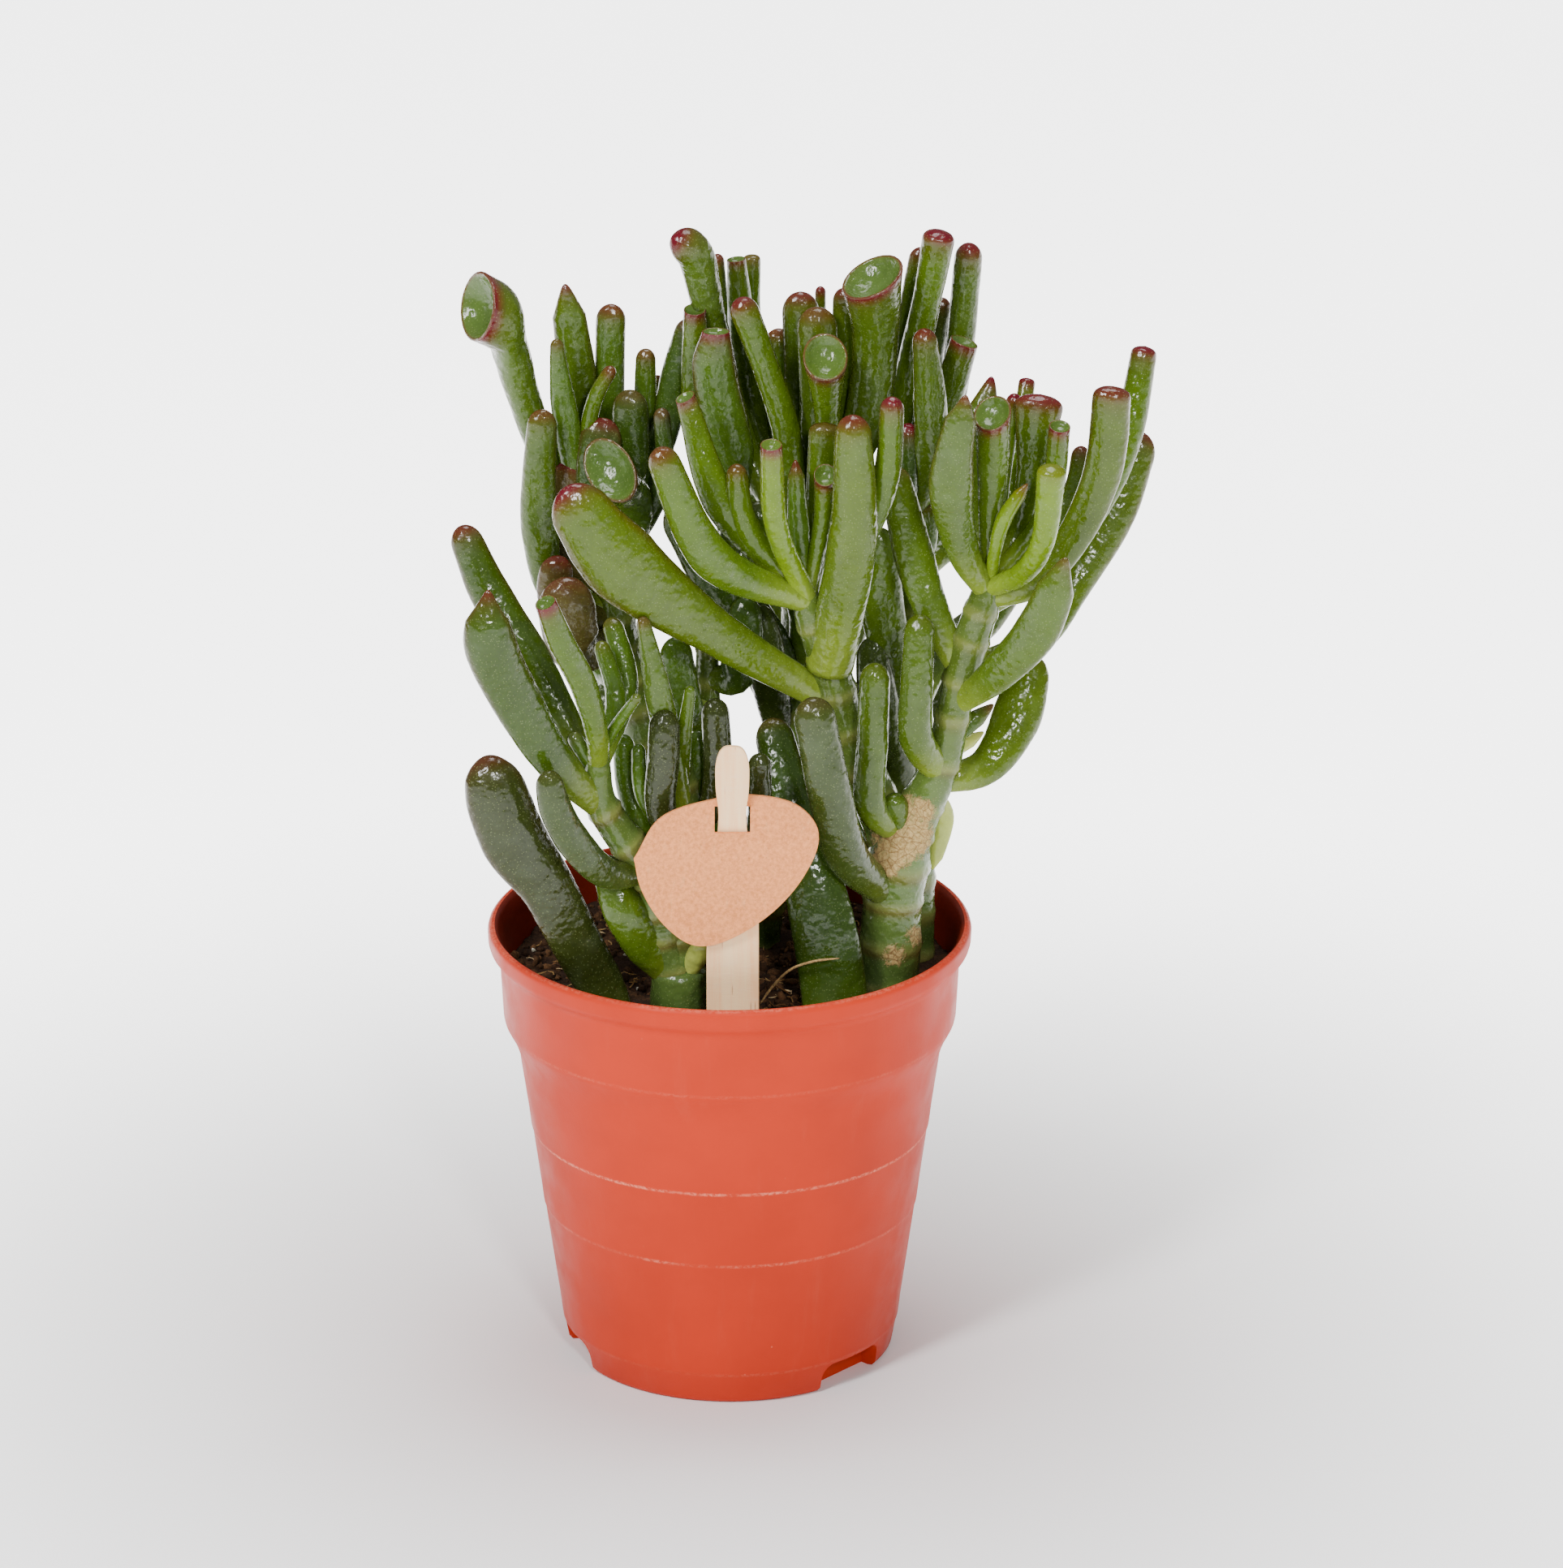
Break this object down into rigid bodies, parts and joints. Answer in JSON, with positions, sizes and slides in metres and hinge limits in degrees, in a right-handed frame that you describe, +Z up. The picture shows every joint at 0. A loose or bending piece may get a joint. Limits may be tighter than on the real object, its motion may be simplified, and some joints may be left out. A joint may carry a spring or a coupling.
{
  "type": "potted hobbit jade",
  "caption": "Bushy succulent with tubular cup-tipped leaves on thick forked stems, standing in a filled terracotta-coloured plastic pot with a blank card label on a wooden stick.",
  "frame": {"origin": "centre of the pot's underside, on the surface it stands on", "axes": "+Z up through the centre of the pot, -Y towards the front with the label, +X to the right as seen from the front"},
  "size_m": [0.1708, 0.1204, 0.2889],
  "materials": {
    "pot": "satin moulded plastic",
    "soil": null,
    "leaf": null,
    "dark_leaf": null,
    "stick": "bare pale wood",
    "card": "bare brown card"
  },
  "bodies": {
    "root": {"pot": "pot", "soil": "soil", "stem_right": "leaf", "stem_left": "leaf", "stem_back_left": "leaf", "stem_back_centre": "leaf", "stem_back_right": "leaf", "leaf_left": "dark_leaf", "leaf_centre": "dark_leaf", "label_stick": "stick", "label_card": "card"}
  },
  "joints": []
}
